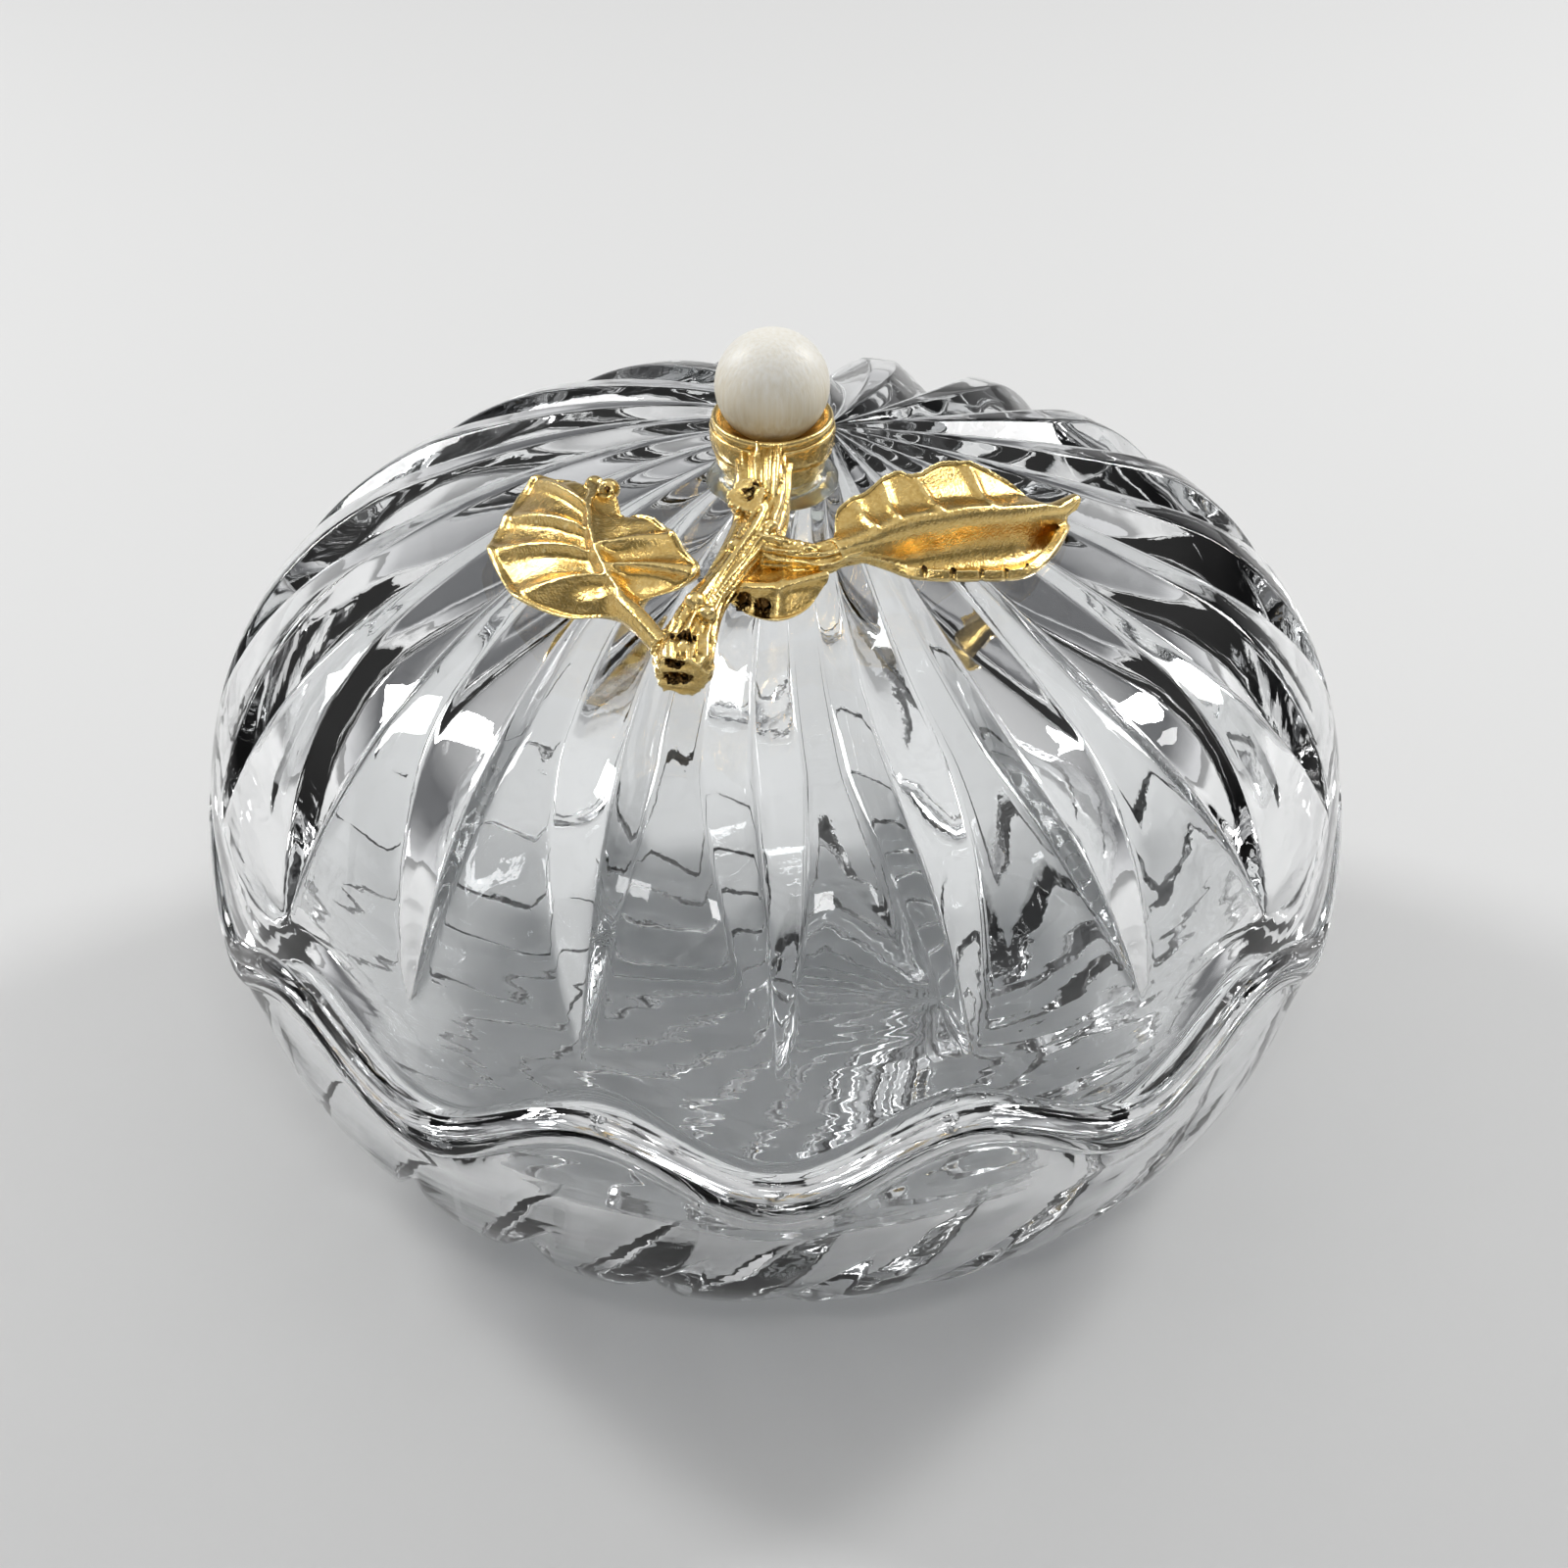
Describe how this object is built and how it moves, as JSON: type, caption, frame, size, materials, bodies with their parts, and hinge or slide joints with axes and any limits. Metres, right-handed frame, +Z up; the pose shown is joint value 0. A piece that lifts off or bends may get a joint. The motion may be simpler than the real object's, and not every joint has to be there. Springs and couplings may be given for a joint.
{
  "type": "glass trinket box",
  "caption": "Round cut-glass trinket box: a fluted domed lid lifts off a petal-cut bowl along a wavy rim, with a gilt leaf spray, bead cup and imitation pearl as its knob.",
  "frame": {"origin": "middle of the flat foot, on the surface that the box stands on", "axes": "+Z up through the middle of the box, +X to the right and -Y to the front, where the cut end of the twig points"},
  "size_m": [0.126, 0.126, 0.0977],
  "materials": {
    "clear_glass": "polished cut crystal",
    "gilt_brass": "polished gilt",
    "pearl_coat": "satin pearl lustre",
    "clear_cement": "translucent cured cement"
  },
  "bodies": {
    "bowl": {"bowl": "clear_glass"},
    "lid": {"lid": "clear_glass", "finial_cup": "gilt_brass", "cup_cement": "clear_cement", "pearl": "pearl_coat", "pearl_peg": "gilt_brass", "twig": "gilt_brass", "left_leaf": "gilt_brass", "right_leaf": "gilt_brass", "bud": "gilt_brass"}
  },
  "joints": [
    {"name": "lid_lift", "type": "slide", "parent": "bowl", "child": "lid", "axis": [0, 0, 1], "range_m": [0, 0.06]}
  ]
}
